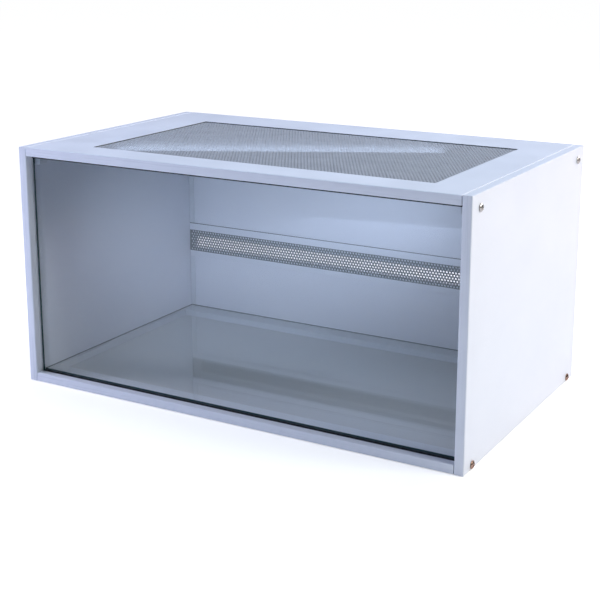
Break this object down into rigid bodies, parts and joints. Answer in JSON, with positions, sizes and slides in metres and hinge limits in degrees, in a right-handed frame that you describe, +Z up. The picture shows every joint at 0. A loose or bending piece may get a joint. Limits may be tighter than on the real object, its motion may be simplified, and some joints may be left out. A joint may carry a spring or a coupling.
{
  "type": "hamster cage",
  "caption": "White board cabinet cage with a clear lift-out front pane, a perforated lid in the top, a vented back and a glass floor.",
  "frame": {"origin": "centre of the underside, on the surface that the cage stands on", "axes": "+Z up; the glass front faces -Y; +X is to the right of someone facing the glass"},
  "size_m": [0.606, 0.36, 0.303],
  "materials": {
    "white_board": "smooth white laminate facing, satin",
    "edge_strip": "smooth white edge strip, satin",
    "white_plastic": "plain moulded, satin",
    "dark_plastic": "dark extruded glazing channel, satin",
    "perforated_white": "white coated sheet with small round holes",
    "perforated_steel": "grey coated sheet with small round holes",
    "clear_glass": "clear float glass, polished edges with a green tint",
    "bright_steel": "bright nickel plated"
  },
  "bodies": {
    "cabinet": {"back_panel": "white_board", "bottom_edge_band": "edge_strip", "bottom_frame": "white_board", "floor_glass": "clear_glass", "front_left_block": "white_plastic", "front_left_block_screw": "bright_steel", "front_left_high_screw": "bright_steel", "front_left_low_screw": "bright_steel", "front_right_block": "white_plastic", "front_right_block_screw": "bright_steel", "front_right_high_screw": "bright_steel", "front_right_low_screw": "bright_steel", "left_edge_band": "edge_strip", "left_panel": "white_board", "lower_channel": "dark_plastic", "lower_left_trim": "white_plastic", "lower_right_trim": "white_plastic", "rear_left_block": "white_plastic", "rear_left_block_screw": "bright_steel", "rear_left_high_screw": "bright_steel", "rear_left_low_screw": "bright_steel", "rear_right_block": "white_plastic", "rear_right_block_screw": "bright_steel", "rear_right_high_screw": "bright_steel", "rear_right_low_screw": "bright_steel", "right_edge_band": "edge_strip", "right_panel": "white_board", "top_edge_band": "edge_strip", "top_frame": "white_board", "upper_channel": "dark_plastic", "upper_left_trim": "white_plastic", "upper_right_trim": "white_plastic", "vent_strip": "perforated_white"},
    "mesh_lid": {"mesh_lid": "perforated_steel"},
    "front_glass": {"front_glass": "clear_glass"}
  },
  "joints": [
    {"name": "lid_lift", "type": "slide", "parent": "cabinet", "child": "mesh_lid", "axis": [0, 0, 1], "range_m": [0, 0.2]},
    {"name": "pane_lift", "type": "slide", "parent": "cabinet", "child": "front_glass", "axis": [0, 0, 1], "range_m": [0, 0.0055]}
  ]
}
